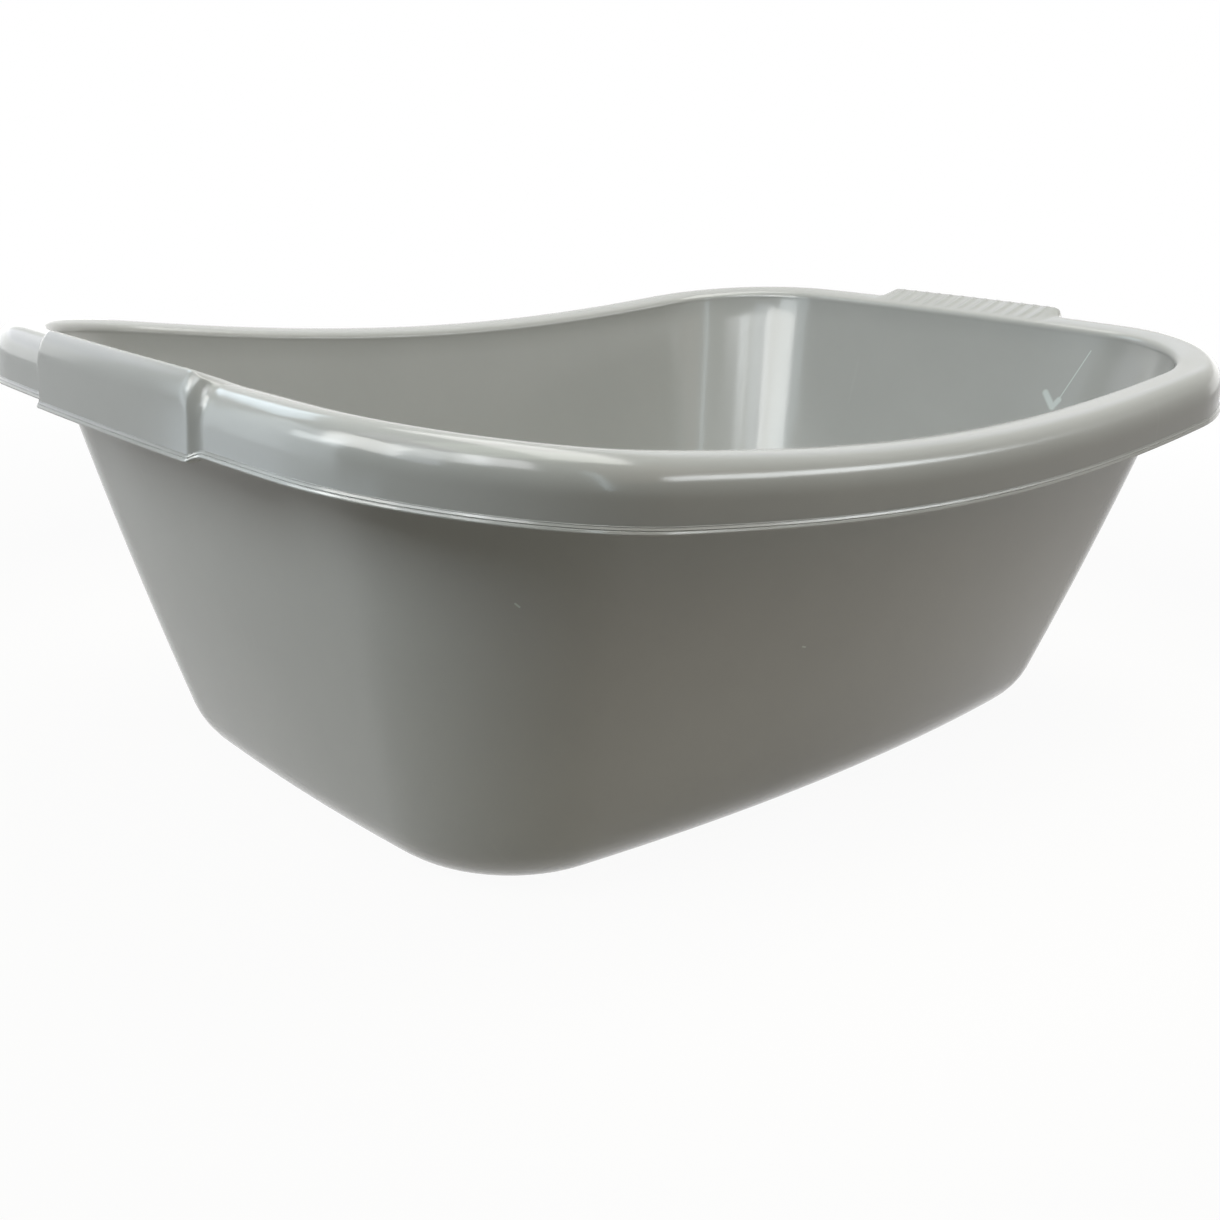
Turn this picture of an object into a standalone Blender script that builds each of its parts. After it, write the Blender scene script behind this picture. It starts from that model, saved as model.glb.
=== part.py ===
"""Plastic basin: a rounded rectangular tub under a rolled, saddle-shaped rim with a raised grip at each end.

Units are metres. X runs along the basin, +Z is up, and the origin is at the centre of the base.
Every cross-section of the rim is given as (inset, rise): how far a point lies inside the lip's plan,
and how far it lies above the crest line, which is a saddle that depends on X alone.
"""

import math
from collections import namedtuple

import bmesh
import bpy

# Plan of the lip, the rim's outermost line: shallow arcs on all four sides, joined by corner arcs
LIP_LENGTH = 0.500
LIP_WIDTH = 0.3545
LIP_CORNER_RADIUS = 0.0866
LIP_SIDE_RADIUS = 5.0
LIP_END_RADIUS = 1.54

# Plan of the base, where the outer wall would meet the ground
BASE_LENGTH = 0.3644
BASE_WIDTH = 0.2380
BASE_CORNER_RADIUS = 0.0548
BASE_SIDE_RADIUS = 1.17
BASE_END_RADIUS = 1.04

# Crest of the rim: its height at the two ends, and how far it sinks at the middle of the long sides
RIM_HEIGHT = 0.1802
SADDLE_DIP = 0.0203

# Walls that bow out a little on their way up, with a well rounded bottom edge, and a floor on a low foot ring
WALL_THICKNESS = 0.0020
WALL_BOW_SHARE = 0.146
FLOOR_THICKNESS = 0.0022
BASE_EDGE_RADIUS = 0.0225
FOOT_WIDTH = 0.006
FOOT_HEIGHT = 0.0012

# Rim: a channel, open below, with a skirt that ends in a lip
RIM_WIDTH = 0.0223
RIM_THICKNESS = 0.0020
RIM_SEAT_DEPTH = 0.0042
INNER_EDGE_RADIUS = 0.0032
CROWN_RADIUS = 0.0400
CROWN_RISE = 0.0010
SHOULDER_RADIUS = 0.0097
SHOULDER_DEPTH = 0.0130
SKIRT_DEPTH = 0.0188
SKIRT_LEAN = 0.0002
LIP_STAND = 0.0011
LIP_THICKNESS = 0.0024

# Grips: the rim's profile swells outwards and up to a ridge over a hand's width, with a ribbed ramp inside
GRIP_LENGTH = 0.1168
GRIP_STAND = 0.0029
GRIP_LIP_DROP = 0.0022
GRIP_END_WALL = 0.0060
RIDGE_END_WALL = 0.0042
RIDGE_INSET = 0.0028
RIDGE_RISE = 0.0044
UNDER_RIDGE_SHARE = 0.9
RIB_COUNT = 13
RIB_PITCH = 0.0076
RIB_WIDTH = 0.0026
RIB_RISE = 0.0005
RIB_SINK = 0.0006
RIB_SETBACK = 0.0010

# The pieces meet with this clearance
FIT_GAP = 0.0003

# Steps along each kind of arc, and up the wall
SIDE_STEPS = 8
CORNER_STEPS = 10
END_STEPS = 4
GRIP_STEPS = 8
END_WALL_STEPS = 7
ROUND_STEPS = 4
CROWN_STEPS = 3
EDGE_STEPS = 5
WALL_STEPS = 5
SMOOTH_ANGLE = math.radians(35)

PLASTIC_COLOUR = (0.33, 0.335, 0.33, 1.0)
PLASTIC_ROUGHNESS = 0.24

Plan = namedtuple("Plan", "half_length half_width side_radius end_radius corner_radius")
Station = namedtuple("Station", "x y radius angle")

LIP_PLAN = Plan(LIP_LENGTH / 2, LIP_WIDTH / 2, LIP_SIDE_RADIUS, LIP_END_RADIUS, LIP_CORNER_RADIUS)
BASE_PLAN = Plan(BASE_LENGTH / 2, BASE_WIDTH / 2, BASE_SIDE_RADIUS, BASE_END_RADIUS, BASE_CORNER_RADIUS)


def clear_scene():
    for item in list(bpy.data.objects):
        bpy.data.objects.remove(item, do_unlink=True)


def new_collection(name):
    collection = bpy.data.collections.new(name)
    bpy.context.scene.collection.children.link(collection)
    return collection


def plastic(name):
    material = bpy.data.materials.new(name)
    material.use_nodes = True
    shader = material.node_tree.nodes["Principled BSDF"]
    shader.inputs["Base Color"].default_value = PLASTIC_COLOUR
    shader.inputs["Roughness"].default_value = PLASTIC_ROUGHNESS
    shader.inputs["Metallic"].default_value = 0.0
    material.diffuse_color = PLASTIC_COLOUR
    return material


def mix(first, last, share):
    return first + (last - first) * share


def ease(share):
    """Rise from 0 to 1 with level ends."""
    held = min(max(share, 0.0), 1.0)
    return held * held * (3 - 2 * held)


def steps(first, last, count):
    return [mix(first, last, index / count) for index in range(count + 1)]


def corner_centre(plan):
    """Centre of the corner arc that touches both the long side's arc and the short end's arc."""
    side_y = plan.half_width - plan.side_radius
    end_x = plan.half_length - plan.end_radius
    to_side = plan.side_radius - plan.corner_radius
    to_end = plan.end_radius - plan.corner_radius
    distance = math.hypot(end_x, side_y)
    along = (distance ** 2 + to_side ** 2 - to_end ** 2) / (2 * distance)
    across = math.sqrt(to_side ** 2 - along ** 2)
    along_x, along_y = end_x / distance, -side_y / distance
    return along * along_x + across * along_y, side_y + along * along_y - across * along_x


def stations(x, y, radius, first, last, count):
    return [Station(x, y, radius, turn) for turn in steps(first, last, count)]


def side_turn(plan):
    """Angle on the long side's arc at which the corner starts."""
    corner_x, corner_y = corner_centre(plan)
    return math.atan2(corner_y - plan.half_width + plan.side_radius, corner_x)


def end_turn(plan):
    """Angle on the short end's arc at which the corner stops."""
    corner_x, corner_y = corner_centre(plan)
    return math.atan2(corner_y, corner_x - plan.half_length + plan.end_radius)


def side_stations(plan, last_gap=0.0):
    """From the middle of the long side to half a gap short of the corner."""
    last = side_turn(plan) + last_gap / 2 / plan.side_radius
    return stations(0.0, plan.half_width - plan.side_radius, plan.side_radius, math.pi / 2, last, SIDE_STEPS)


def corner_stations(plan, first_gap=0.0, last_gap=0.0):
    """Round the corner, from half a gap past the long side to half a gap short of the end."""
    corner_x, corner_y = corner_centre(plan)
    first = side_turn(plan) - first_gap / 2 / plan.corner_radius
    last = end_turn(plan) + last_gap / 2 / plan.corner_radius
    return stations(corner_x, corner_y, plan.corner_radius, first, last, CORNER_STEPS)


def end_stations(plan, first_gap=0.0, stop=0.0):
    """Along the short end, from half a gap past the corner to a distance from the end's middle."""
    first = end_turn(plan) - first_gap / 2 / plan.end_radius
    last = math.asin(stop / plan.end_radius)
    return stations(plan.half_length - plan.end_radius, 0.0, plan.end_radius, first, last, END_STEPS)


def quarter(plan):
    """Stations from the middle of the long side, round the corner, to the middle of the short end."""
    return side_stations(plan) + corner_stations(plan)[1:] + end_stations(plan)[1:]


def plan_point(station, inset):
    reach = station.radius - inset
    return station.x + reach * math.cos(station.angle), station.y + reach * math.sin(station.angle)


def crest(x):
    """Height of the rim's crest: full at the ends and lowest at the middle of the long sides."""
    return RIM_HEIGHT - SADDLE_DIP * math.cos(math.pi * x / LIP_LENGTH)


def rim_point(station, inset, rise, flip_x=1):
    x, y = plan_point(station, inset)
    return flip_x * x, y, crest(x) + rise


def arc(centre, radius, first, last, count, tall=None):
    """Points of a section's arc, or upright ellipse: angle 0 looks inwards and a quarter turn looks up."""
    tall = radius if tall is None else tall
    return [(centre[0] + radius * math.cos(turn), centre[1] + tall * math.sin(turn))
            for turn in steps(first, last, count)]


def shoulder_centre():
    return LIP_STAND + SKIRT_LEAN + SHOULDER_RADIUS, CROWN_RISE - SHOULDER_DEPTH


def under_shoulder(centre, first, last):
    """The shoulder's inner side, one wall thickness inside its outer side."""
    return arc(centre, SHOULDER_RADIUS - RIM_THICKNESS, first, last, ROUND_STEPS,
               SHOULDER_DEPTH - RIM_THICKNESS)


def crown_centre():
    return shoulder_centre()[0], CROWN_RISE - CROWN_RADIUS


def edge_turn():
    """Angle at which the crown's arc runs into the inner edge's arc."""
    reach = RIM_WIDTH - INNER_EDGE_RADIUS - crown_centre()[0]
    return math.acos(reach / (CROWN_RADIUS - INNER_EDGE_RADIUS))


def edge_centre():
    span = CROWN_RADIUS - INNER_EDGE_RADIUS
    return RIM_WIDTH - INNER_EDGE_RADIUS, crown_centre()[1] + span * math.sin(edge_turn())


def rim_section():
    """The channel's outline as (inset, rise): outside from the lip over the crown, then back inside it."""
    lip_low = -SKIRT_DEPTH - LIP_THICKNESS
    turn, up, out = edge_turn(), math.pi / 2, math.pi
    edge_steps = ROUND_STEPS // 2
    outside = [(0.0, lip_low), (0.0, -SKIRT_DEPTH), (LIP_STAND, -SKIRT_DEPTH)]
    outside += arc(shoulder_centre(), SHOULDER_RADIUS, out, up, ROUND_STEPS, SHOULDER_DEPTH)
    outside += arc(crown_centre(), CROWN_RADIUS, up, turn, CROWN_STEPS)[1:]
    outside += arc(edge_centre(), INNER_EDGE_RADIUS, turn, 0.0, edge_steps)[1:]
    outside += [(RIM_WIDTH, -RIM_SEAT_DEPTH)]
    inside = [(RIM_WIDTH - RIM_THICKNESS, -RIM_SEAT_DEPTH)]
    inside += arc(edge_centre(), INNER_EDGE_RADIUS - RIM_THICKNESS, 0.0, turn, edge_steps)
    inside += arc(crown_centre(), CROWN_RADIUS - RIM_THICKNESS, turn, up, CROWN_STEPS)[1:]
    inside += under_shoulder(shoulder_centre(), up, out)[1:]
    inside += [(LIP_STAND + RIM_THICKNESS, lip_low)]
    return outside, inside


def between(first, last, count):
    """Points spaced evenly along a straight run, without the first."""
    return [(mix(first[0], last[0], share), mix(first[1], last[1], share))
            for share in steps(0.0, 1.0, count)[1:]]


def grip_side():
    """The grip's outer side as an upright ellipse: its centre, and its turn from the face to the ridge."""
    middle = LIP_STAND - GRIP_STAND + SKIRT_LEAN + SHOULDER_RADIUS
    turn = math.acos((middle - RIDGE_INSET) / SHOULDER_RADIUS)
    return (middle, RIDGE_RISE - SHOULDER_DEPTH * math.sin(turn)), turn


def grip_section():
    """The same points as rim_section, moved to the grip's full profile: a ridge outside, a ramp inside."""
    lip_low = -SKIRT_DEPTH - GRIP_LIP_DROP - LIP_THICKNESS
    lip_top = lip_low + LIP_THICKNESS
    side, ridge_turn = grip_side()
    face = LIP_STAND - GRIP_STAND
    turn, out = edge_turn(), math.pi
    edge_steps = ROUND_STEPS // 2
    edge = arc(edge_centre(), INNER_EDGE_RADIUS, turn, 0.0, edge_steps)
    edge_under = arc(edge_centre(), INNER_EDGE_RADIUS - RIM_THICKNESS, 0.0, turn, edge_steps)
    outside = [(-GRIP_STAND, lip_low), (-GRIP_STAND, lip_top), (face, lip_top)]
    outside += arc(side, SHOULDER_RADIUS, out, out - ridge_turn, ROUND_STEPS, SHOULDER_DEPTH)
    outside += between(outside[-1], edge[0], CROWN_STEPS) + edge[1:]
    outside += [(RIM_WIDTH, -RIM_SEAT_DEPTH)]
    under = under_shoulder(side, out - ridge_turn * UNDER_RIDGE_SHARE, out)
    inside = [(RIM_WIDTH - RIM_THICKNESS, -RIM_SEAT_DEPTH)] + edge_under
    inside += between(edge_under[-1], under[0], CROWN_STEPS) + under[1:]
    inside += [(face + RIM_THICKNESS, lip_low)]
    return outside, inside


def blended_section(distance):
    """The grip's section at a distance along the end from its middle: the rim's own section at its foot."""
    past_foot = GRIP_LENGTH / 2 - abs(distance)
    wall = ease(past_foot / GRIP_END_WALL)
    ridge = ease((past_foot - GRIP_END_WALL + RIDGE_END_WALL) / RIDGE_END_WALL)
    section = []
    for plain, full in zip(rim_section(), grip_section()):
        for (inset, rise), (grip_inset, grip_rise) in zip(plain, full):
            share = ridge if grip_rise > rise else wall
            section.append((mix(inset, grip_inset, wall), mix(rise, grip_rise, share)))
    return section


def bridge(shape, rings):
    """Join closed rings of points into one closed skin, capped at both ends."""
    rows = [[shape.verts.new(point) for point in ring] for ring in rings]
    count = len(rows[0])
    for low, high in zip(rows, rows[1:]):
        for index in range(count):
            after = (index + 1) % count
            shape.faces.new((low[index], low[after], high[after], high[index]))
    shape.faces.new(rows[0])
    shape.faces.new(rows[-1])


def add_solid(name, ring_groups, collection, material=None):
    """One object from one or more groups of rings, each group a closed skin."""
    shape = bmesh.new()
    for rings in ring_groups:
        bridge(shape, rings)
    bmesh.ops.recalc_face_normals(shape, faces=shape.faces)
    mesh = bpy.data.meshes.new(name)
    shape.to_mesh(mesh)
    shape.free()
    mesh.shade_smooth()
    mesh.set_sharp_from_angle(angle=SMOOTH_ANGLE)
    item = bpy.data.objects.new(name, mesh)
    collection.objects.link(item)
    if material:
        mesh.materials.append(material)
    return item


def wall_point(base, lip, inset, level, share):
    """A point of the wall at an inset from its outer face: a level plus a share of the way to the top."""
    base_x, base_y = plan_point(base, inset)
    top_x, top_y = plan_point(lip, RIM_WIDTH - WALL_THICKNESS + inset)
    top = crest(top_x) - RIM_SEAT_DEPTH - FIT_GAP
    height = mix(level, top, share)
    climb = height / top
    bowed = climb + WALL_BOW_SHARE * climb * (1 - climb)
    return mix(base_x, top_x, bowed), mix(base_y, top_y, bowed), height


def edge_levels(radius, inset):
    """(inset, level) down a rounded edge, from the wall to the floor."""
    return [(inset + radius * (1 - math.cos(turn)), radius * (1 - math.sin(turn)))
            for turn in steps(0.0, math.pi / 2, EDGE_STEPS)]


def wall_section(base, lip):
    """An upright section of the wall: outside from its rounded foot to the top, then back inside."""
    floor_top = FOOT_HEIGHT + FLOOR_THICKNESS
    floor_radius = BASE_EDGE_RADIUS - WALL_THICKNESS
    shares = steps(0.0, 1.0, WALL_STEPS)
    path = [(inset, level, 0.0) for inset, level in reversed(edge_levels(BASE_EDGE_RADIUS, 0.0))]
    path += [(0.0, BASE_EDGE_RADIUS, share) for share in shares[1:]]
    path += [(WALL_THICKNESS, floor_top + floor_radius, share) for share in reversed(shares)]
    path += [(inset, floor_top + level, 0.0)
             for inset, level in edge_levels(floor_radius, WALL_THICKNESS)[1:]]
    return [wall_point(base, lip, *spot) for spot in path]


def wall_sections(base_stations, lip_stations):
    return [wall_section(base, lip) for base, lip in zip(base_stations, lip_stations)]


def rim_sections(lip_stations):
    outside, inside = rim_section()
    return [[rim_point(station, inset, rise) for inset, rise in outside + inside] for station in lip_stations]


def flipped(sections, flip_x, flip_y):
    return [[(flip_x * x, flip_y * y, z) for x, y, z in section] for section in sections]


def across_side(half):
    """Sections that start at the middle of a long side, continued to its other half."""
    return list(reversed(flipped(half[1:], -1, 1))) + half


def across_end(half):
    """Sections that stop at the middle of a short end, continued to its other half."""
    return half + list(reversed(flipped(half[:-1], 1, -1)))


def make_floor(collection):
    """The flat floor inside the walls' rounded edge, on its foot ring."""
    edge = BASE_EDGE_RADIUS + FIT_GAP
    foot_inner = BASE_EDGE_RADIUS + FOOT_WIDTH
    rings = []
    for inset, level in ((foot_inner + FOOT_HEIGHT, FOOT_HEIGHT), (foot_inner, 0.0), (edge, 0.0),
                         (edge, FOOT_HEIGHT + FLOOR_THICKNESS)):
        part = [[(*plan_point(station, inset), level)] for station in quarter(BASE_PLAN)]
        half = across_side(part)
        loop = half + list(reversed(flipped(half[1:-1], 1, -1)))
        rings.append([point for point, in loop])
    return add_solid("floor", [rings], collection, plastic("floor_plastic"))


def make_sides(collection):
    """The walls and the rim along the two long sides."""
    walls = across_side(wall_sections(side_stations(BASE_PLAN, FIT_GAP), side_stations(LIP_PLAN, FIT_GAP)))
    rims = across_side(rim_sections(side_stations(LIP_PLAN, FIT_GAP)))
    for place, side in (("front", -1), ("back", 1)):
        add_solid("wall_" + place, [flipped(walls, 1, side)], collection, plastic("wall_plastic"))
        add_solid("rim_" + place, [flipped(rims, 1, side)], collection, plastic("rim_plastic"))


def make_ends(collection):
    """The walls at the two short ends."""
    walls = across_end(wall_sections(end_stations(BASE_PLAN, FIT_GAP), end_stations(LIP_PLAN, FIT_GAP)))
    for place, side in (("left", -1), ("right", 1)):
        add_solid("wall_" + place, [flipped(walls, side, 1)], collection, plastic("wall_plastic"))


def make_corners(collection):
    """The wall at each corner, and the rim from there to the grip."""
    walls = wall_sections(corner_stations(BASE_PLAN, FIT_GAP, FIT_GAP),
                          corner_stations(LIP_PLAN, FIT_GAP, FIT_GAP))
    rims = rim_sections(corner_stations(LIP_PLAN, FIT_GAP)
                        + end_stations(LIP_PLAN, stop=(GRIP_LENGTH + FIT_GAP) / 2)[1:])
    for row, flip_y in (("front", -1), ("back", 1)):
        for place, flip_x in (("left", -1), ("right", 1)):
            add_solid(f"corner_{row}_{place}", [flipped(walls, flip_x, flip_y)], collection,
                      plastic("wall_plastic"))
            add_solid(f"rim_{row}_{place}", [flipped(rims, flip_x, flip_y)], collection,
                      plastic("rim_plastic"))


def end_station(distance):
    """The station on the short end's arc at a distance along it from its middle."""
    turn = math.asin(distance / LIP_END_RADIUS)
    return Station(LIP_LENGTH / 2 - LIP_END_RADIUS, 0.0, LIP_END_RADIUS, turn)


def grip_distances():
    """Distances from the grip's middle: close together on its end walls, wide between them."""
    foot = (GRIP_LENGTH - FIT_GAP) / 2
    wall_top = GRIP_LENGTH / 2 - GRIP_END_WALL
    half = steps(foot, wall_top, END_WALL_STEPS)
    half += steps(wall_top, 0.0, GRIP_STEPS // 2)[1:]
    return half + [-distance for distance in reversed(half[:-1])]


def rib_rings(middle, side):
    """One rib: a bar that runs down the ramp from the ridge to the rim's inner edge."""
    foot_inset, foot_rise = arc(edge_centre(), INNER_EDGE_RADIUS, edge_turn(), 0.0, ROUND_STEPS)[0]
    fall = (RIDGE_RISE - foot_rise) / (foot_inset - RIDGE_INSET)
    first, last = RIDGE_INSET + RIB_SETBACK, foot_inset
    outline = []
    for inset, lift in ((first, -RIB_SINK), (first, 0.0), (first + RIB_RISE, RIB_RISE),
                        (last, RIB_RISE), (last, -RIB_SINK)):
        outline.append((inset, RIDGE_RISE - fall * (inset - RIDGE_INSET) + lift))
    return [[rim_point(end_station(middle + shift), inset, rise, side) for inset, rise in outline]
            for shift in (-RIB_WIDTH / 2, RIB_WIDTH / 2)]


def make_grip(name, side, collection, helpers):
    """The raised stretch of rim at one end; side is -1 for the left end and +1 for the right."""
    rings = [[rim_point(end_station(distance), inset, rise, side)
              for inset, rise in blended_section(distance)] for distance in grip_distances()]
    grip = add_solid(name, [rings], collection, plastic(name + "_plastic"))
    first = -RIB_PITCH * (RIB_COUNT - 1) / 2
    ribs = add_solid(name + "_ribs", [rib_rings(first + RIB_PITCH * index, side)
                                      for index in range(RIB_COUNT)], helpers)
    ribs.hide_render = True
    ribs.display_type = "WIRE"
    union = grip.modifiers.new("ribs", "BOOLEAN")
    union.operation = "UNION"
    union.object = ribs
    return grip


def build():
    clear_scene()
    basin = new_collection("plastic_basin")
    helpers = new_collection("plastic_basin_helpers")
    make_floor(basin)
    make_sides(basin)
    make_ends(basin)
    make_corners(basin)
    make_grip("grip_left", -1, basin, helpers)
    make_grip("grip_right", 1, basin, helpers)


build()
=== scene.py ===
"""Looks of the plastic basin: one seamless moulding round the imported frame, its plastic, and the studio.

Units are metres, in the frame's own axes: X along the basin, +Z up, the origin under the middle of the base.
Every cross-section of the rim is given as (inset, rise): how far a point lies inside the lip's plan,
and how far it lies above the crest line, which is a saddle that depends on X alone.
"""

import math
from collections import namedtuple

import bmesh
import bpy
from mathutils import Matrix, Vector


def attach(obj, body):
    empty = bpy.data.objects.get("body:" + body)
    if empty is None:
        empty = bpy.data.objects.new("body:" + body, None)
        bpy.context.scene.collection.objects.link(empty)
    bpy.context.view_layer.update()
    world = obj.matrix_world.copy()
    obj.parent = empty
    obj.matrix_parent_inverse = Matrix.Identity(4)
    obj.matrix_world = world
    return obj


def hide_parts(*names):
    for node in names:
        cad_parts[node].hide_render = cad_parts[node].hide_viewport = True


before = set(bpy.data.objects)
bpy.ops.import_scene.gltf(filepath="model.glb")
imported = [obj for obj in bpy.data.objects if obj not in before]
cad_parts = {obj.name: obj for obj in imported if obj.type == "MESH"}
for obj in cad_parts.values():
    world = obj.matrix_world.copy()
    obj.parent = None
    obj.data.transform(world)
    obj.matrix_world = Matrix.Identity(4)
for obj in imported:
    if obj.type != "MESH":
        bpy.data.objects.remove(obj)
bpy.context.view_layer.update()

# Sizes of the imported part
LIP_LENGTH = 0.500
LIP_WIDTH = 0.3545
LIP_CORNER_RADIUS = 0.0866
LIP_SIDE_RADIUS = 5.0
LIP_END_RADIUS = 1.54
BASE_LENGTH = 0.3644
BASE_WIDTH = 0.2380
BASE_CORNER_RADIUS = 0.0548
BASE_SIDE_RADIUS = 1.17
BASE_END_RADIUS = 1.04
RIM_HEIGHT = 0.1802
SADDLE_DIP = 0.0203
WALL_THICKNESS = 0.0020
WALL_BOW_SHARE = 0.146
FLOOR_THICKNESS = 0.0022
BASE_EDGE_RADIUS = 0.0225
FOOT_WIDTH = 0.006
FOOT_HEIGHT = 0.0012
RIM_WIDTH = 0.0223
RIM_THICKNESS = 0.0020
RIM_SEAT_DEPTH = 0.0042
INNER_EDGE_RADIUS = 0.0032
CROWN_RADIUS = 0.0400
CROWN_RISE = 0.0010
SHOULDER_RADIUS = 0.0097
SKIRT_DEPTH = 0.0188
SKIRT_LEAN = 0.0002
LIP_STAND = 0.0011
LIP_THICKNESS = 0.0024
GRIP_STAND = 0.0029
GRIP_LIP_DROP = 0.0022
RIDGE_RISE = 0.0040
RIB_COUNT = 13
RIB_PITCH = 0.0076
RIB_WIDTH = 0.0026
RIB_RISE = 0.0003

# The lip's two slanted faces, with a fine groove between them: (inset, drop) from the lip's outer top corner
LIP_FACES = ((0.00098, 0.0), (0.00040, 0.00090), (0.00058, 0.00108), (0.00032, 0.00126), (0.0, 0.00195),
             (0.00012, 0.0024))
# Radii of the lip's corners, from the skirt's foot down over the faces and up inside the channel
LIP_ROUNDS = (0.00022, 0.00018, 0.00014, 0.00006, 0.00010, 0.00030, 0.00022, 0.00040)
# The shoulder is an upright ellipse, and the grip's outer side is the same ellipse up to its crest
SHOULDER_DEPTH = 0.0130
CREST_TURN = math.radians(51)
CREST_RADIUS = 0.0012
# How far the grip's hollow side follows the ellipse before it turns into the underside of the ramp
UNDER_SHARE = 0.9
# The grip's end walls: outwards from the foot on the plain rim to the grip's face, and up to its raised top
END_FOOT = 0.0582
END_LENGTH = 0.0056
END_FOOT_ROUND = 0.0040
END_TOP_ROUND = 0.0015
LIFT_START = 0.0020
LIFT_LENGTH = 0.0070
LIFT_FOOT_ROUND = 0.0018
LIFT_TOP_ROUND = 0.0050
# A rib along the ramp, in shares of the way down it: where it starts, is whole, starts to fall, and ends
RIB_END_SHARES = (-0.15, 0.0, 0.74, 0.88)
# A rib across: a power above 2 makes it flatter on top than half an ellipse
RIB_POWER = 2.6
# Rows past the end of the ramp that the ribs still lift
RIB_OVERLAP = 2
# Support points beside a rounded corner, in shares of its radius
SUPPORT_SHARE = 0.35

# Steps of the fine mesh
SIDE_STEPS = 14
CORNER_STEPS = 22
END_STEPS = 8
FOOT_STEPS = 20
ROUND_STEPS = 15
CREST_STEPS = 5
CROWN_STEPS = 13
EDGE_STEPS = 6
WALL_STEPS = 14
BASE_STEPS = 9
SMALL_STEPS = 4
FLOOR_SHARES = (0.95, 0.80, 0.55, 0.30, 0.10)
# Stations across a rib, in halves of its width
RIB_STATIONS = (1.05, 0.85, 0.5, 0.0, -0.5, -0.85, -1.05)
# Least distance between two stations, and from the last one to the end's middle, in widths of a rib
STATION_GAP = 0.06
LAST_STATION = 0.02
# Foot distance of a station where there is no grip
NO_GRIP = -1.0

# The plastic
INDEX_OF_REFRACTION = 1.49
SPECULAR_LEVEL = 0.36
ROUGHNESS = 0.12
UNEVEN_ROUGHNESS = 0.06
SCRATCH_ROUGHNESS = 0.06
CLOUD_TONES = ((0.333, 0.337, 0.325, 1.0), (0.350, 0.353, 0.341, 1.0))
CLOUD_LEVELS = (0.3, 0.7)
SCRATCH_COLOR, SCRATCH_SHARE = (0.46, 0.46, 0.45, 1.0), 0.08
SPECK_COLOR, SPECK_SHARE = (0.20, 0.20, 0.19, 1.0), 0.7
# Pale bluish colour that paints a reflection on the inside of the right wall, and two small light marks at
# the front
PAINTED_REFLECTION_AND_MARK_COLOR, PAINTED_REFLECTION_AND_MARK_SHARE = (0.62, 0.68, 0.67, 1.0), 0.6
# Hairline scratches: how much the pattern is squeezed along each axis, and how it is turned
SCRATCHES = (
    ((260.0, 9.0, 9.0), (0.3, 0.5, 0.9)),
    ((9.0, 240.0, 14.0), (0.9, 0.2, 0.4)),
)
SCRATCH_LEVELS = (0.74, 0.80)
# Specks: cells to a metre, the edge of a speck in its cell, and how few of the cells hold one
SPECK_CELLS = 46.0
SPECK_EDGE = (0.055, 0.035)
SPECK_LEVELS = (0.94, 0.95)
# Marks at places of their own: where a mark starts and ends, and half its width. The first three are a
# painted reflection on the inside of the right wall; the last two are small light marks on the outside at the
# front.
PAINTED_REFLECTION_AND_MARK_LINES = (
    ((0.2238, -0.0856, 0.1668), (0.2176, -0.0740, 0.1390), 0.00035),
    ((0.2186, -0.0665, 0.1435), (0.2172, -0.0722, 0.1372), 0.00220),
    ((0.2180, -0.0750, 0.1410), (0.2172, -0.0726, 0.1375), 0.00190),
    ((-0.1886, -0.1318, 0.1220), (-0.1874, -0.1324, 0.1208), 0.00040),
    ((-0.0590, -0.1398, 0.0838), (-0.0572, -0.1398, 0.0832), 0.00040),
)
# Noise patterns: scale and detail
CLOUDS = (14.0, 4.0)
UNEVENNESS = (60.0, 3.0)
SCRATCH_LINES = (1.0, 1.0)
NOISE_ROUGHNESS = 0.55
# Bumps, fine grain and then broad waves: scale and detail of the noise, strength and depth of the bump
BUMPS = (
    (1500.0, 2.0, 0.12, 0.00006),
    (22.0, 2.0, 0.25, 0.0006),
)

# The photograph's viewpoint; angles in radians, focal length in pixels of the image
CAMERA_PLACE = (-0.4497, -0.43996, 0.25055)
CAMERA_YAW, CAMERA_PITCH, CAMERA_ROLL = 0.79797, -0.31024, 0.04747
FOCAL_PIXELS = 1425.34
IMAGE_PIXELS = 1220
SENSOR_WIDTH = 36.0
NEAREST_SEEN = 0.01

# Floor: its own tone near the basin and further off, which only the light that it throws back shows,
# and how white it is to the camera near the basin, and from where on it is wholly white
FLOOR_SIZE = 6.0
FLOOR_NEAR = 0.27
FLOOR_FAR = 0.45
FLOOR_NEAR_TONE = 0.60
FLOOR_FAR_TONE = 0.12
FLOOR_NEAR_WHITE = 0.95
FLOOR_TINT = (1.0, 0.93, 0.80)
WHITE_REACH = 1.0
WHITE = (1.0, 1.0, 1.0, 1.0)
SOFT_STRENGTH = 0.03

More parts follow.
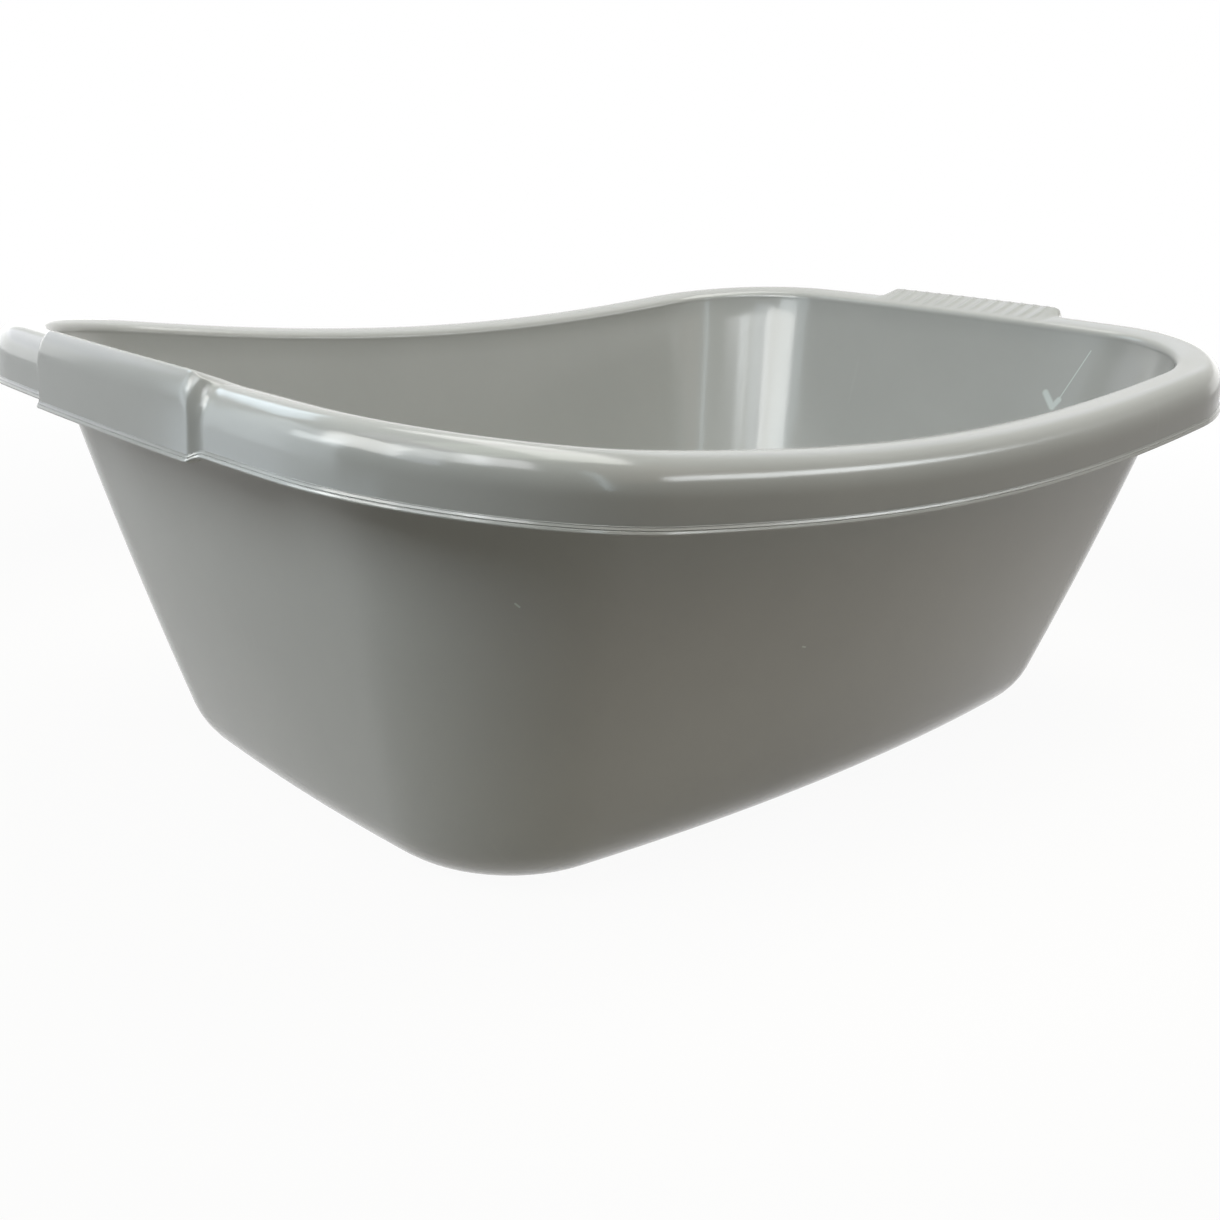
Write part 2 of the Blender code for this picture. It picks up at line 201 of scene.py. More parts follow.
# Lamps: name, azimuth, elevation, distance, width, height, radiance, tint, and whether only gloss shows it
LAMP_TARGET = (0.0, 0.0, 0.12)
LAMPS = (
    ("window", 178, 33, 1.3, 0.72, 0.50, 7.9, (0.91, 0.98, 1.00), False),
    ("window_high", 186, 58, 1.4, 0.80, 0.40, 1.5, (1.00, 0.85, 0.97), False),
    ("ceiling_right", 0, 74, 1.5, 1.60, 0.80, 5.1, (1.00, 0.97, 0.97), False),
    ("ceiling_front", -90, 74, 1.5, 1.60, 0.80, 2.8, (0.90, 1.00, 0.85), False),
    ("front_fill", -60, 35, 1.5, 1.20, 0.80, 0.4, (1.00, 0.60, 0.40), False),
    ("back_low_fill", 95, 7, 1.8, 1.60, 0.40, 1.2, (1.00, 1.00, 1.00), False),
    ("right_low_fill", 0, 7, 1.8, 1.20, 0.40, 0.9, (1.00, 1.00, 1.00), False),
    ("window_gloss", 178, 34, 1.3, 0.72, 0.50, 4.6, (1.00, 0.88, 0.80), True),
    ("window_edge", 201, 34, 1.3, 0.44, 0.70, 4.4, (0.86, 0.92, 1.00), True),
    ("front_strip", -90, 22, 1.3, 0.08, 0.70, 6.0, (0.77, 0.92, 1.00), True),
    ("front_gloss", -126, 42, 1.3, 0.45, 0.40, 8.0, (0.97, 0.97, 1.00), True),
    ("front_streak", -138, 40, 1.3, 0.24, 0.50, 7.0, (0.92, 0.97, 1.00), True),
    ("left_gloss", -150, 38, 1.3, 0.40, 0.40, 4.1, (1.00, 1.00, 0.97), True),
    ("shoulder_gloss", 160, 15, 0.69, 0.46, 0.46, 3.3, (0.84, 0.94, 1.00), True),
    ("shoulder_low_gloss", 165, -7, 0.69, 0.70, 0.08, 1.9, (0.78, 0.90, 1.00), True),
    ("shoulder_window", 168, 20, 0.73, 0.27, 0.10, 7.0, (0.92, 0.98, 1.00), True),
    ("right_gloss", 20, 30, 1.8, 1.00, 0.60, 0.4, (0.75, 0.80, 1.00), True),
    ("right_band", -43, 23, 1.8, 0.68, 0.20, 10.0, (0.92, 0.97, 1.00), True),
    ("back_gloss", 105, 20, 1.8, 0.90, 0.50, 1.0, (0.85, 0.85, 1.00), True),
    ("back_gloss_high", 105, 42, 1.8, 0.90, 0.50, 4.6, (0.72, 0.88, 1.00), True),
)

Plan = namedtuple("Plan", "half_length half_width side_radius end_radius corner_radius")
Station = namedtuple("Station", "lip base foot_distance middle_distance flip_x flip_y")
Spot = namedtuple("Spot", "x y radius angle")

LIP_PLAN = Plan(LIP_LENGTH / 2, LIP_WIDTH / 2, LIP_SIDE_RADIUS, LIP_END_RADIUS, LIP_CORNER_RADIUS)
BASE_PLAN = Plan(BASE_LENGTH / 2, BASE_WIDTH / 2, BASE_SIDE_RADIUS, BASE_END_RADIUS, BASE_CORNER_RADIUS)


def mix(first, last, share):
    return first + (last - first) * share


def steps(first, last, count):
    return [mix(first, last, index / count) for index in range(count + 1)]


def crest(x):
    return RIM_HEIGHT - SADDLE_DIP * math.cos(math.pi * x / LIP_LENGTH)


def corner_centre(plan):
    """Centre of the corner arc that touches both the long side's arc and the short end's arc."""
    side_y = plan.half_width - plan.side_radius
    end_x = plan.half_length - plan.end_radius
    to_side = plan.side_radius - plan.corner_radius
    to_end = plan.end_radius - plan.corner_radius
    distance = math.hypot(end_x, side_y)
    along = (distance ** 2 + to_side ** 2 - to_end ** 2) / (2 * distance)
    across = math.sqrt(to_side ** 2 - along ** 2)
    along_x, along_y = end_x / distance, -side_y / distance
    return along * along_x + across * along_y, side_y + along * along_y - across * along_x


def side_turn(plan):
    corner_x, corner_y = corner_centre(plan)
    return math.atan2(corner_y - plan.half_width + plan.side_radius, corner_x)


def end_turn(plan):
    corner_x, corner_y = corner_centre(plan)
    return math.atan2(corner_y, corner_x - plan.half_length + plan.end_radius)


def spot(plan, kind, share):
    """A place on one of the quarter's three arcs, at a share of the way along it."""
    corner_x, corner_y = corner_centre(plan)
    if kind == "side":
        turn = mix(math.pi / 2, side_turn(plan), share)
        return Spot(0.0, plan.half_width - plan.side_radius, plan.side_radius, turn)
    if kind == "corner":
        return Spot(corner_x, corner_y, plan.corner_radius, mix(side_turn(plan), end_turn(plan), share))
    return Spot(plan.half_length - plan.end_radius, 0.0, plan.end_radius, mix(end_turn(plan), 0.0, share))


def end_distances():
    """Distances from the end's middle, from the corner inwards: closer at the grip's foot and ribs."""
    start = LIP_END_RADIUS * math.sin(end_turn(LIP_PLAN))
    top = END_FOOT - max(END_LENGTH, LIFT_START + LIFT_LENGTH)
    found = steps(start, END_FOOT, END_STEPS) + steps(END_FOOT, top, FOOT_STEPS)[1:]
    last_rib = RIB_PITCH * (RIB_COUNT - 1) / 2
    for index in range(RIB_COUNT // 2 + 1):
        middle = last_rib - RIB_PITCH * index
        for share in RIB_STATIONS:
            found.append(middle + share * RIB_WIDTH * 0.5)
        found.append(middle - RIB_PITCH / 2)
    found = sorted((value for value in found if value > RIB_WIDTH * LAST_STATION), reverse=True)
    kept = found[:1]
    for value in found[1:]:
        if kept[-1] - value > RIB_WIDTH * STATION_GAP:
            kept.append(value)
    return kept + [0.0]


def quarter_stations():
    """(kind, share, distance from the end's middle), from the middle of a long side to that of an end."""
    found = [("side", share, None) for share in steps(0.0, 1.0, SIDE_STEPS)]
    found += [("corner", share, None) for share in steps(0.0, 1.0, CORNER_STEPS)[1:]]
    stop = end_turn(LIP_PLAN)
    for distance in end_distances()[1:]:
        turn = math.asin(distance / LIP_END_RADIUS)
        found.append(("end", 1 - turn / stop, distance))
    return found


def loop_stations():
    """Stations once round the basin."""
    quarter = [Station(spot(LIP_PLAN, kind, share), spot(BASE_PLAN, kind, share),
                       NO_GRIP if distance is None else END_FOOT - distance, distance, 1, 1)
               for kind, share, distance in quarter_stations()]
    back_right = quarter
    front_right = [item._replace(flip_y=-1) for item in reversed(quarter[:-1])]
    front_left = [item._replace(flip_x=-1, flip_y=-1) for item in quarter[1:]]
    back_left = [item._replace(flip_x=-1) for item in reversed(quarter[1:-1])]
    return back_right + front_right + front_left + back_left


def place(where, inset):
    """X and Y of a place, moved inwards by an inset."""
    reach = where.radius - inset
    return where.x + reach * math.cos(where.angle), where.y + reach * math.sin(where.angle)


def rounded_step(distance, length, foot_round, top_round):
    """Rise from 0 to 1 over a length: straight, with a rounded foot and a rounded top."""
    if distance <= 0.0:
        return 0.0
    if distance >= length:
        return 1.0
    slope = 1 / (length - (foot_round + top_round) / 2)
    if distance < foot_round:
        return slope * distance ** 2 / (2 * foot_round)
    if distance > length - top_round:
        return 1 - slope * (length - distance) ** 2 / (2 * top_round)
    return slope * (distance - foot_round / 2)


def arc(centre, radius, first, last, count, tall=None):
    """Points on a circle, or on an upright ellipse where its height is given."""
    tall = radius if tall is None else tall
    return [(centre[0] + radius * math.cos(turn), centre[1] + tall * math.sin(turn))
            for turn in steps(first, last, count)]


def rounded(points, radii):
    """A polyline whose inner points are rounded off, each with support points just beyond its arc."""
    path = [points[0]]
    for before, here, after, radius in zip(points, points[1:], points[2:], radii):
        here_v = Vector(here)
        back = (Vector(before) - here_v).normalized()
        on = (Vector(after) - here_v).normalized()
        half = back.angle(on) / 2
        reach = radius / math.tan(half)
        middle = here_v + (back + on).normalized() * (radius / math.sin(half))
        first = here_v + back * reach
        last = here_v + on * reach
        spread_first, spread_last = first - middle, last - middle
        total = spread_first.angle(spread_last)
        path.append(tuple(first + back * radius * SUPPORT_SHARE))
        for share in steps(0.0, 1.0, SMALL_STEPS):
            turned = spread_first * math.sin((1 - share) * total) + spread_last * math.sin(share * total)
            path.append(tuple(middle + turned / math.sin(total)))
        path.append(tuple(last + on * radius * SUPPORT_SHARE))
    return path + [points[-1]]


def shoulder_centre():
    return LIP_STAND + SKIRT_LEAN + SHOULDER_RADIUS, CROWN_RISE - SHOULDER_DEPTH


def crown_centre():
    return shoulder_centre()[0], CROWN_RISE - CROWN_RADIUS


def edge_turn():
    """The turn at which the crown's arc meets the inner edge's small one."""
    reach = RIM_WIDTH - INNER_EDGE_RADIUS - crown_centre()[0]
    return math.acos(reach / (CROWN_RADIUS - INNER_EDGE_RADIUS))


def edge_centre():
    span = CROWN_RADIUS - INNER_EDGE_RADIUS
    return RIM_WIDTH - INNER_EDGE_RADIUS, crown_centre()[1] + span * math.sin(edge_turn())


def lip_path(skirt_out, lip_out, lip_top, lip_low, skirt_foot):
    """From the skirt down over the lip's faces, to its inner lower corner and up inside the channel."""
    corners = [skirt_foot, (skirt_out, lip_top)]
    corners += [(lip_out + inset, lip_top - drop) for inset, drop in LIP_FACES]
    corners += [(skirt_out + RIM_THICKNESS, lip_low), (skirt_out + RIM_THICKNESS, skirt_foot[1])]
    return rounded(corners, LIP_ROUNDS)


def plain_section():
    """The rim's outline as (inset, rise), from the top of the inner wall over the crown and back inside."""
    turn, up, out = edge_turn(), math.pi / 2, math.pi
    path = [(RIM_WIDTH, -RIM_SEAT_DEPTH)]
    path += arc(edge_centre(), INNER_EDGE_RADIUS, 0.0, turn, EDGE_STEPS)
    path += arc(crown_centre(), CROWN_RADIUS, turn, up, CROWN_STEPS)[1:]
    path += arc(shoulder_centre(), SHOULDER_RADIUS, up, out, ROUND_STEPS, SHOULDER_DEPTH)[1:]
    path += lip_path(LIP_STAND, 0.0, -SKIRT_DEPTH, -SKIRT_DEPTH - LIP_THICKNESS, path[-1])[1:-1]
    path += arc(shoulder_centre(), SHOULDER_RADIUS - RIM_THICKNESS, out, up, ROUND_STEPS,
                SHOULDER_DEPTH - RIM_THICKNESS)
    path += arc(crown_centre(), CROWN_RADIUS - RIM_THICKNESS, up, turn, CROWN_STEPS)[1:]
    path += arc(edge_centre(), INNER_EDGE_RADIUS - RIM_THICKNESS, turn, 0.0, EDGE_STEPS)[1:]
    return path


def ramp_points(first, last, count):
    """A straight line in equal steps."""
    inner = [(mix(first[0], last[0], share), mix(first[1], last[1], share))
             for share in steps(0.0, 1.0, count)[1:-1]]
    return [first] + inner + [last]


def full_section():
    """The points of plain_section moved to the grip's profile: a swelled side, a crest and a ramp inside."""
    turn, out = edge_turn(), math.pi
    face = LIP_STAND - GRIP_STAND
    lean = math.atan(SHOULDER_RADIUS / SHOULDER_DEPTH * math.tan(CREST_TURN))
    crest_middle = RIDGE_RISE - CREST_RADIUS
    side_middle = (face + SKIRT_LEAN + SHOULDER_RADIUS,
                   crest_middle + CREST_RADIUS * math.sin(lean) - SHOULDER_DEPTH * math.sin(CREST_TURN))
    top = (side_middle[0] - SHOULDER_RADIUS * math.cos(CREST_TURN) + CREST_RADIUS * math.cos(lean),
           crest_middle)
    path = [(RIM_WIDTH, -RIM_SEAT_DEPTH)]
    path += arc(edge_centre(), INNER_EDGE_RADIUS, 0.0, turn, EDGE_STEPS)
    ramp_run, ramp_rise = path[-1][0] - top[0], top[1] - path[-1][1]
    slope = math.atan2(ramp_rise, ramp_run) + math.asin(CREST_RADIUS / math.hypot(ramp_run, ramp_rise))
    over = arc(top, CREST_RADIUS, math.pi / 2 - slope, out - lean, CREST_STEPS)
    over += arc(side_middle, SHOULDER_RADIUS, out - CREST_TURN, out, ROUND_STEPS - CREST_STEPS,
                SHOULDER_DEPTH)[1:]
    lip_top = -SKIRT_DEPTH - GRIP_LIP_DROP
    path += ramp_points(path[-1], over[0], CROWN_STEPS)[1:] + over[1:]
    path += lip_path(face, -GRIP_STAND, lip_top, lip_top - LIP_THICKNESS, path[-1])[1:-1]
    under = arc(side_middle, SHOULDER_RADIUS - RIM_THICKNESS, out, out - CREST_TURN * UNDER_SHARE,
                ROUND_STEPS, SHOULDER_DEPTH - RIM_THICKNESS)
    edge_under = arc(edge_centre(), INNER_EDGE_RADIUS - RIM_THICKNESS, turn, 0.0, EDGE_STEPS)
    path += under
    path += ramp_points(under[-1], edge_under[0], CROWN_STEPS)[1:] + edge_under[1:]
    return path


def plateau(value, rise_start, rise_end, fall_start, fall_end):
    """0 outside, 1 inside, with smooth flanks."""
    rise = min(max((value - rise_start) / (rise_end - rise_start), 0.0), 1.0)
    fall = min(max((fall_end - value) / (fall_end - fall_start), 0.0), 1.0)
    held = min(rise, fall)
    return held * held * (3 - 2 * held)


def rib_lift(distance, ramp_share):
    """Height of the ribs at a distance along the end, at a share of the way up the ramp."""
    if distance is None:
        return 0.0
    nearest = round(distance / RIB_PITCH) * RIB_PITCH
    if abs(nearest) > RIB_PITCH * (RIB_COUNT // 2) + RIB_WIDTH:
        return 0.0
    off = abs(distance - nearest) / (RIB_WIDTH / 2)
    across = math.sqrt(max(0.0, 1 - min(off, 1.0) ** RIB_POWER))
    return RIB_RISE * across * plateau(1 - ramp_share, *RIB_END_SHARES)


PLAIN = plain_section()
FULL = full_section()
RAMP_FIRST = EDGE_STEPS + 1
RAMP_LAST = RAMP_FIRST + CROWN_STEPS


def rim_ring(station):
    """The rim's section at one station, in space."""
    held = rounded_step(station.foot_distance, END_LENGTH, END_FOOT_ROUND, END_TOP_ROUND)
    lifted = rounded_step(station.foot_distance - LIFT_START, LIFT_LENGTH, LIFT_FOOT_ROUND, LIFT_TOP_ROUND)
    points = []
    for index, (plain, full) in enumerate(zip(PLAIN, FULL)):
        share = lifted if full[1] > plain[1] else held
        inset, rise = mix(plain[0], full[0], held), mix(plain[1], full[1], share)
        if RAMP_FIRST <= index <= RAMP_LAST + RIB_OVERLAP:
            rise += rib_lift(station.middle_distance, (index - RAMP_FIRST) / CROWN_STEPS)
        x, y = place(station.lip, inset)
        points.append((station.flip_x * x, station.flip_y * y, crest(x) + rise))
    return points


def wall_point(station, inset, level, share):
    """A point of the bowed wall, at a share of the way from a level up to the rim's seat."""
    base_x, base_y = place(station.base, inset)
    top_x, top_y = place(station.lip, RIM_WIDTH - WALL_THICKNESS + inset)
    top = crest(top_x) - RIM_SEAT_DEPTH
    height = mix(level, top, share)
    climb = height / top
    bowed = climb + WALL_BOW_SHARE * climb * (1 - climb)
    x, y = mix(base_x, top_x, bowed), mix(base_y, top_y, bowed)
    return station.flip_x * x, station.flip_y * y, height


def edge_levels(radius, inset):
    """(inset, level) round the tub's bottom edge, from the wall down to the floor."""
    return [(inset + radius * (1 - math.cos(turn)), radius * (1 - math.sin(turn)))
            for turn in steps(0.0, math.pi / 2, BASE_STEPS)]


def foot_path():
    """(inset, level) from the outer edge's foot across the foot ring to the recess under the floor."""
    outer = BASE_EDGE_RADIUS
    corners = [(outer, 0.0), (outer + FOOT_WIDTH, 0.0), (outer + FOOT_WIDTH + FOOT_HEIGHT, FOOT_HEIGHT),
               (outer + FOOT_WIDTH + 3 * FOOT_HEIGHT, FOOT_HEIGHT)]
    return rounded(corners, (FOOT_HEIGHT / 3, FOOT_HEIGHT / 3))


def column(station):
    """All points of one upright cut through the moulding, from the inner floor's edge round to the recess."""
    floor_top = FOOT_HEIGHT + FLOOR_THICKNESS
    floor_radius = BASE_EDGE_RADIUS - WALL_THICKNESS
    shares = steps(0.0, 1.0, WALL_STEPS)
    points = [wall_point(station, inset, floor_top + level, 0.0)
              for inset, level in reversed(edge_levels(floor_radius, WALL_THICKNESS))]
    points += [wall_point(station, WALL_THICKNESS, floor_top + floor_radius, share) for share in shares[1:-1]]
    points += rim_ring(station)
    points += [wall_point(station, 0.0, BASE_EDGE_RADIUS, share) for share in reversed(shares)]
    points += [wall_point(station, inset, level, 0.0)
               for inset, level in edge_levels(BASE_EDGE_RADIUS, 0.0)[1:-1]]
    points += [wall_point(station, inset, level, 0.0) for inset, level in foot_path()]
    return points


def cover(shape, rim):
    """Close a flat loop with shrinking loops and a middle point."""
    level = rim[0].co.z
    before = rim
    for share in FLOOR_SHARES:
        row = [shape.verts.new((vert.co.x * share, vert.co.y * share, level)) for vert in rim]
        stitch(shape, before, row)
        before = row
    middle = shape.verts.new((0.0, 0.0, level))
    for index, vert in enumerate(before):
        shape.faces.new((vert, before[(index + 1) % len(before)], middle))


def stitch(shape, low, high):
    """Faces between two closed loops."""
    count = len(low)
    for index in range(count):
        after = (index + 1) % count
        shape.faces.new((low[index], low[after], high[after], high[index]))


def make_moulding():
    """The whole basin as one closed skin."""
    shape = bmesh.new()
    columns = [[shape.verts.new(point) for point in column(station)] for station in loop_stations()]
    rows = [list(row) for row in zip(*columns)]
    for low, high in zip(rows, rows[1:]):
        stitch(shape, low, high)
    cover(shape, rows[0])
    cover(shape, rows[-1])
    bmesh.ops.recalc_face_normals(shape, faces=shape.faces)
    mesh = bpy.data.meshes.new("basin_moulding")
    shape.to_mesh(mesh)
    shape.free()
    mesh.shade_smooth()
    item = bpy.data.objects.new("basin_moulding", mesh)
    bpy.context.scene.collection.objects.link(item)
    return item


def node(tree, kind, x=0, y=0, **values):
    """A node at a place in its tree, with its inputs or its own settings given by name."""
    made = tree.nodes.new(kind)
    made.location = (x, y)
    for name, value in values.items():
        if hasattr(made, name) and name not in made.inputs:
            setattr(made, name, value)
        else:
            made.inputs[name].default_value = value
    return made


def feed(tree, socket, value):
    """Link a socket to another one, or set it to a plain value."""
    if isinstance(value, bpy.types.NodeSocket):
        tree.links.new(value, socket)
    else:
        socket.default_value = value


def ramp(tree, source, low, high, x, y, first=0.0, last=1.0):
    """One value below low, another above high, and straight between them."""
    made = node(tree, "ShaderNodeMapRange", x, y)
    for name, value in (("Value", source), ("From Min", low), ("From Max", high), ("To Min", first),
                        ("To Max", last)):
        feed(tree, made.inputs[name], value)
    return made.outputs["Result"]


def noise(tree, place, scale, detail, x, y):
    made = node(tree, "ShaderNodeTexNoise", x, y, Scale=scale, Detail=detail, Roughness=NOISE_ROUGHNESS)
    tree.links.new(place, made.inputs["Vector"])
    return made.outputs["Fac"]


def maths(tree, kind, values, x, y):
    """One operation on plain values and sockets."""
    made = node(tree, "ShaderNodeMath", x, y, operation=kind)
    for socket, value in zip(made.inputs, values):
        feed(tree, socket, value)
    return made.outputs[0]


def vector_maths(tree, kind, values, x, y):
    """The same for vectors; the values are given by the number or the name of their input."""
    made = node(tree, "ShaderNodeVectorMath", x, y, operation=kind)
    for key, value in values.items():
        feed(tree, made.inputs[key], value)
    return made.outputs


def mixed(tree, share, first, last, x, y):
    """A colour between two colours."""
    made = node(tree, "ShaderNodeMix", x, y, data_type="RGBA")
    for index, value in ((0, share), (6, first), (7, last)):
        feed(tree, made.inputs[index], value)
    return made.outputs[2]


def line_mark(tree, where, first, last, half_width, x, y):
    """1 on a short straight mark, 0 away from it."""
    along = Vector(last) - Vector(first)
    offset = vector_maths(tree, "SUBTRACT", {0: where, 1: first}, x, y)["Vector"]
    reach = vector_maths(tree, "DOT_PRODUCT", {0: offset, 1: along / along.length_squared}, x + 160, y)
    share = ramp(tree, reach["Value"], 0.0, 1.0, x + 320, y)
    foot = vector_maths(tree, "SCALE", {0: along, "Scale": share}, x + 480, y)["Vector"]
    away = vector_maths(tree, "DISTANCE", {0: offset, 1: foot}, x + 640, y)["Value"]
    return ramp(tree, away, half_width, half_width * 0.5, x + 800, y)


def scratch_pattern(tree, where):
    """1 on the hairline scratches, in two directions."""
    found = []
    for index, (stretch, turn) in enumerate(SCRATCHES):
        y = -200 - 300 * index
        mapped = node(tree, "ShaderNodeMapping", -1600, y, Scale=stretch, Rotation=turn)
        tree.links.new(where, mapped.inputs["Vector"])
        lines = noise(tree, mapped.outputs["Vector"], *SCRATCH_LINES, -1400, y)
        found.append(ramp(tree, lines, *SCRATCH_LEVELS, -1200, y))
    return maths(tree, "MAXIMUM", found, -1000, -300)


def speck_pattern(tree, where):
    """1 on a few small round specks."""
    cells = node(tree, "ShaderNodeTexVoronoi", -1600, -900, Scale=SPECK_CELLS)
    tree.links.new(where, cells.inputs["Vector"])
    near = ramp(tree, cells.outputs["Distance"], *SPECK_EDGE, -1400, -900)
    split = node(tree, "ShaderNodeSeparateColor", -1400, -1100)
    tree.links.new(cells.outputs["Color"], split.inputs[0])
    rare = ramp(tree, split.outputs[0], *SPECK_LEVELS, -1200, -1100)
    return maths(tree, "MULTIPLY", (near, rare), -1000, -900)


def painted_reflection_and_marks(tree, where):
    """1 on the marks that have places of their own: a painted reflection on the inside of the right wall, and
    two small light marks at the front.
    """
    found = None
    for index, mark in enumerate(PAINTED_REFLECTION_AND_MARK_LINES):
        y = 900 + 200 * index
        one = line_mark(tree, where, *mark, -1800, y)
        found = one if found is None else maths(tree, "MAXIMUM", (found, one), -800, y)
    return found


def plastic():
    """Light grey semi-gloss plastic: faint clouding, grain, soft waves, hairline scratches, two small marks
    and a painted reflection.
    """
    material = bpy.data.materials.new("basin_plastic")
    material.use_nodes = True
    tree = material.node_tree
    shader = tree.nodes["Principled BSDF"]
    shader.inputs["IOR"].default_value = INDEX_OF_REFRACTION
    shader.inputs["Specular IOR Level"].default_value = SPECULAR_LEVEL
    where = node(tree, "ShaderNodeTexCoord", -1800, 0).outputs["Object"]

    cloud = ramp(tree, noise(tree, where, *CLOUDS, -1600, 300), *CLOUD_LEVELS, -1400, 300)
    color = mixed(tree, cloud, *CLOUD_TONES, -900, 300)
    scratch = scratch_pattern(tree, where)
    # The last layer is a painted reflection on the inside of the right wall, together with two small light
    # marks at the front
    layers = ((scratch, SCRATCH_SHARE, SCRATCH_COLOR), (speck_pattern(tree, where), SPECK_SHARE, SPECK_COLOR),
              (painted_reflection_and_marks(tree, where), PAINTED_REFLECTION_AND_MARK_SHARE, PAINTED_REFLECTION_AND_MARK_COLOR))
    for index, (pattern, strength, tint) in enumerate(layers):
        share = maths(tree, "MULTIPLY", (pattern, strength), -800 + 200 * index, 0)
        color = mixed(tree, share, color, tint, -600 + 200 * index, 300)
    tree.links.new(color, shader.inputs["Base Color"])

    uneven = noise(tree, where, *UNEVENNESS, -1600, -1400)
    rough = maths(tree, "MULTIPLY_ADD", (uneven, UNEVEN_ROUGHNESS, ROUGHNESS), -900, -1400)
    rough = maths(tree, "MULTIPLY_ADD", (scratch, SCRATCH_ROUGHNESS, rough), -600, -1400)
    tree.links.new(rough, shader.inputs["Roughness"])

    normal = None
    for index, (scale, detail, strength, depth) in enumerate(BUMPS):
        bump = node(tree, "ShaderNodeBump", -900 + 300 * index, -1800, Strength=strength, Distance=depth)
        tree.links.new(noise(tree, where, scale, detail, -1600, -1800 - 200 * index), bump.inputs["Height"])
        if normal is not None:
            tree.links.new(normal, bump.inputs["Normal"])
        normal = bump.outputs["Normal"]
    tree.links.new(normal, shader.inputs["Normal"])
    return material


def panel(name, azimuth, elevation, distance, width, height, radiance, tint, gloss_only=False):
    """A soft rectangular lamp that faces the basin; azimuth 0 is +X and 90 is +Y."""
    turn, lift = math.radians(azimuth), math.radians(elevation)
    away = Vector((math.cos(lift) * math.cos(turn), math.cos(lift) * math.sin(turn), math.sin(lift)))
    lamp = bpy.data.lights.new(name, "AREA")
    lamp.shape = "RECTANGLE"
    lamp.size, lamp.size_y = width, height
    lamp.energy = radiance * math.pi * width * height
    lamp.color = tint
    item = bpy.data.objects.new(name, lamp)
    item.location = Vector(LAMP_TARGET) + away * distance
    item.rotation_euler = (-away).to_track_quat("-Z", "Y").to_euler()
    item.visible_camera = False
    item.visible_diffuse = not gloss_only
    bpy.context.scene.collection.objects.link(item)


def make_camera():
    """The photograph's viewpoint."""
    reach = math.cos(CAMERA_PITCH)
    forward = Vector((reach * math.cos(CAMERA_YAW), reach * math.sin(CAMERA_YAW), math.sin(CAMERA_PITCH)))
    level = Vector((math.sin(CAMERA_YAW), -math.cos(CAMERA_YAW), 0.0))
    above = level.cross(forward)
    right = math.cos(CAMERA_ROLL) * level + math.sin(CAMERA_ROLL) * above
    up = -math.sin(CAMERA_ROLL) * level + math.cos(CAMERA_ROLL) * above
    lens = bpy.data.cameras.new("camera")
    lens.sensor_width = SENSOR_WIDTH
    lens.sensor_height = SENSOR_WIDTH
    lens.sensor_fit = "AUTO"
    lens.lens = FOCAL_PIXELS / IMAGE_PIXELS * SENSOR_WIDTH
    lens.clip_start = NEAREST_SEEN
    item = bpy.data.objects.new("camera", lens)
    turn = Matrix((right, up, -forward)).transposed().to_4x4()
    item.matrix_world = Matrix.Translation(CAMERA_PLACE) @ turn
    bpy.context.scene.collection.objects.link(item)
    bpy.context.scene.camera = item


def background_rays(tree):
    """1 for the rays that show a background as it is: from the camera, in gloss and through glass."""
    paths = node(tree, "ShaderNodeLightPath", -600, 0).outputs
    seen = maths(tree, "MAXIMUM", (paths["Is Camera Ray"], paths["Is Glossy Ray"]), -400, 0)
    return maths(tree, "MAXIMUM", (seen, paths["Is Transmission Ray"]), -200, 0)


def blend_out(tree, share, first, last, out_kind):
    """Two shaders mixed into the tree's output."""
    blend = node(tree, "ShaderNodeMixShader", 200, 0)
    out = node(tree, out_kind, 400, 0)
    tree.links.new(share, blend.inputs[0])
    tree.links.new(first.outputs[0], blend.inputs[1])
    tree.links.new(last.outputs[0], blend.inputs[2])
    tree.links.new(blend.outputs[0], out.inputs[0])


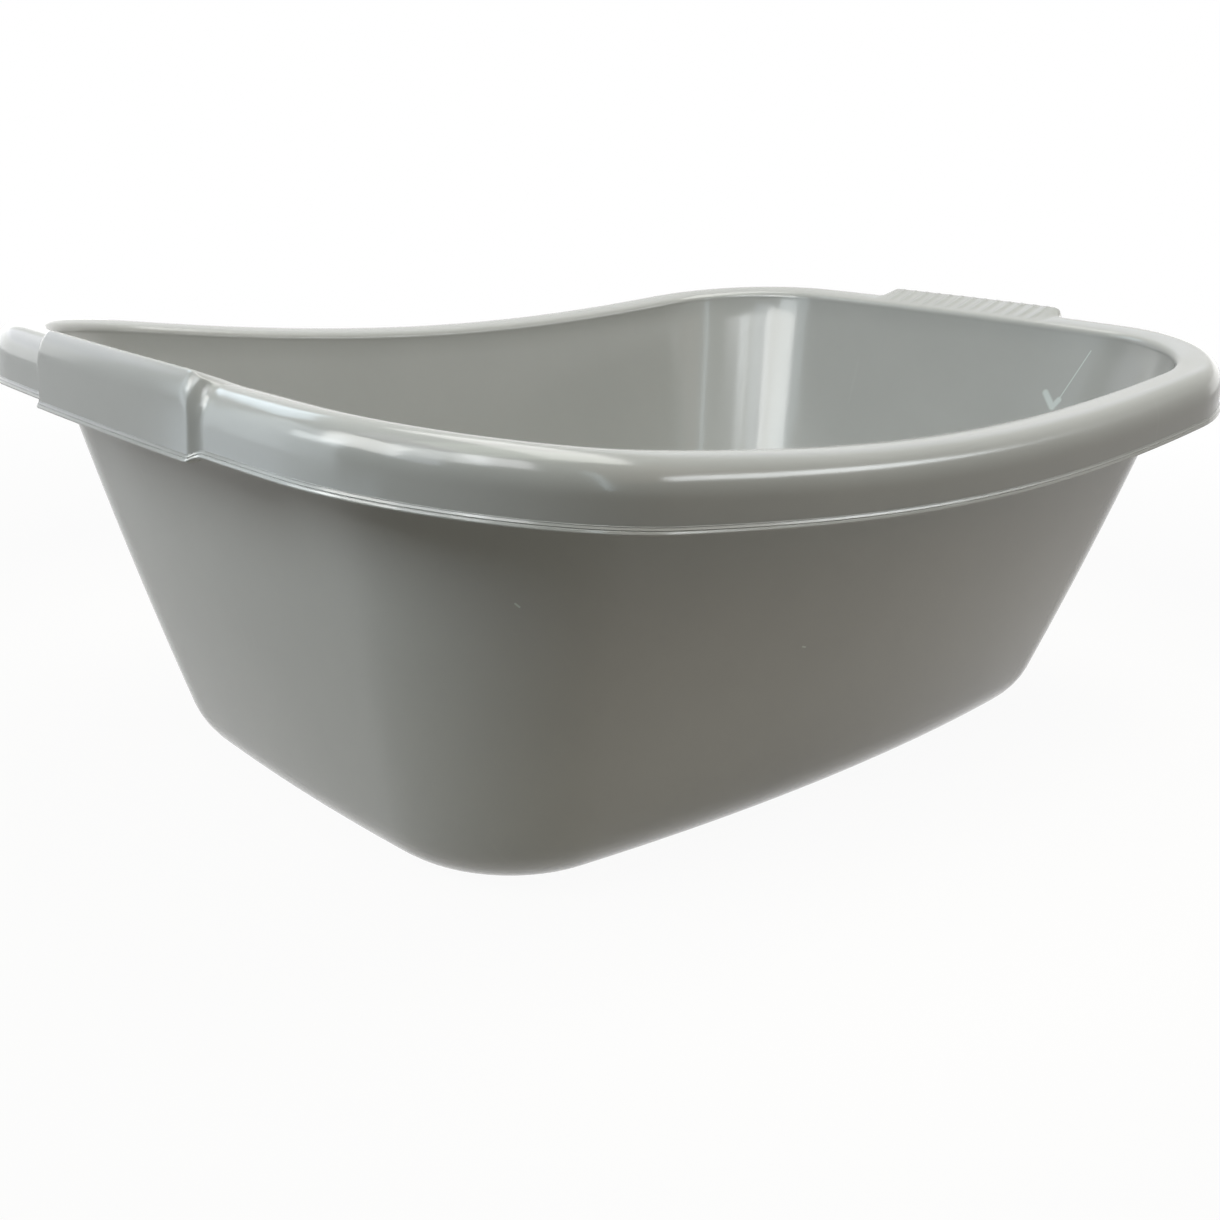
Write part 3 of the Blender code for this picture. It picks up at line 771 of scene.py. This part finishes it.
def make_world():
    """White to the camera and to reflections, plain soft light for everything else."""
    world = bpy.data.worlds.new("studio")
    bpy.context.scene.world = world
    world.use_nodes = True
    tree = world.node_tree
    tree.nodes.clear()
    soft = node(tree, "ShaderNodeBackground", 0, 200, Color=WHITE, Strength=SOFT_STRENGTH)
    white = node(tree, "ShaderNodeBackground", 0, -200, Color=WHITE, Strength=1.0)
    blend_out(tree, background_rays(tree), soft, white, "ShaderNodeOutputWorld")


def floor_material():
    """White to the camera apart from a part of the object's real shadow, and a warm tone to the light."""
    material = bpy.data.materials.new("studio_floor")
    material.use_nodes = True
    tree = material.node_tree
    tree.nodes.clear()
    spot_at = node(tree, "ShaderNodeTexCoord", -600, 300).outputs["Object"]
    reach = vector_maths(tree, "LENGTH", {0: spot_at}, -400, 300)["Value"]
    tone = ramp(tree, reach, FLOOR_NEAR, FLOOR_FAR, -200, 300, FLOOR_NEAR_TONE, FLOOR_FAR_TONE)
    warm = vector_maths(tree, "SCALE", {0: FLOOR_TINT, "Scale": tone}, -100, 200)["Vector"]
    matt = node(tree, "ShaderNodeBsdfDiffuse", 0, 200)
    tree.links.new(warm, matt.inputs["Color"])
    whiteness = ramp(tree, reach, FLOOR_NEAR, WHITE_REACH, -200, 600, FLOOR_NEAR_WHITE, 1.0)
    share = maths(tree, "MULTIPLY", (background_rays(tree), whiteness), 0, 0)
    white = node(tree, "ShaderNodeEmission", 0, -200, Color=WHITE, Strength=1.0)
    blend_out(tree, share, matt, white, "ShaderNodeOutputMaterial")
    return material


def make_floor():
    """A plain pale floor."""
    shape = bmesh.new()
    bmesh.ops.create_grid(shape, x_segments=1, y_segments=1, size=FLOOR_SIZE)
    mesh = bpy.data.meshes.new("studio_floor")
    shape.to_mesh(mesh)
    shape.free()
    mesh.materials.append(floor_material())
    item = bpy.data.objects.new("studio_floor", mesh)
    bpy.context.scene.collection.objects.link(item)


def build():
    moulding = make_moulding()
    moulding.data.materials.append(plastic())
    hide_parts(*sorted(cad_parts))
    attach(moulding, "root")
    make_floor()
    make_world()
    make_camera()
    for lamp in LAMPS:
        panel(*lamp)


build()
bpy.context.scene.view_settings.view_transform = "Standard"
bpy.context.view_layer.update()
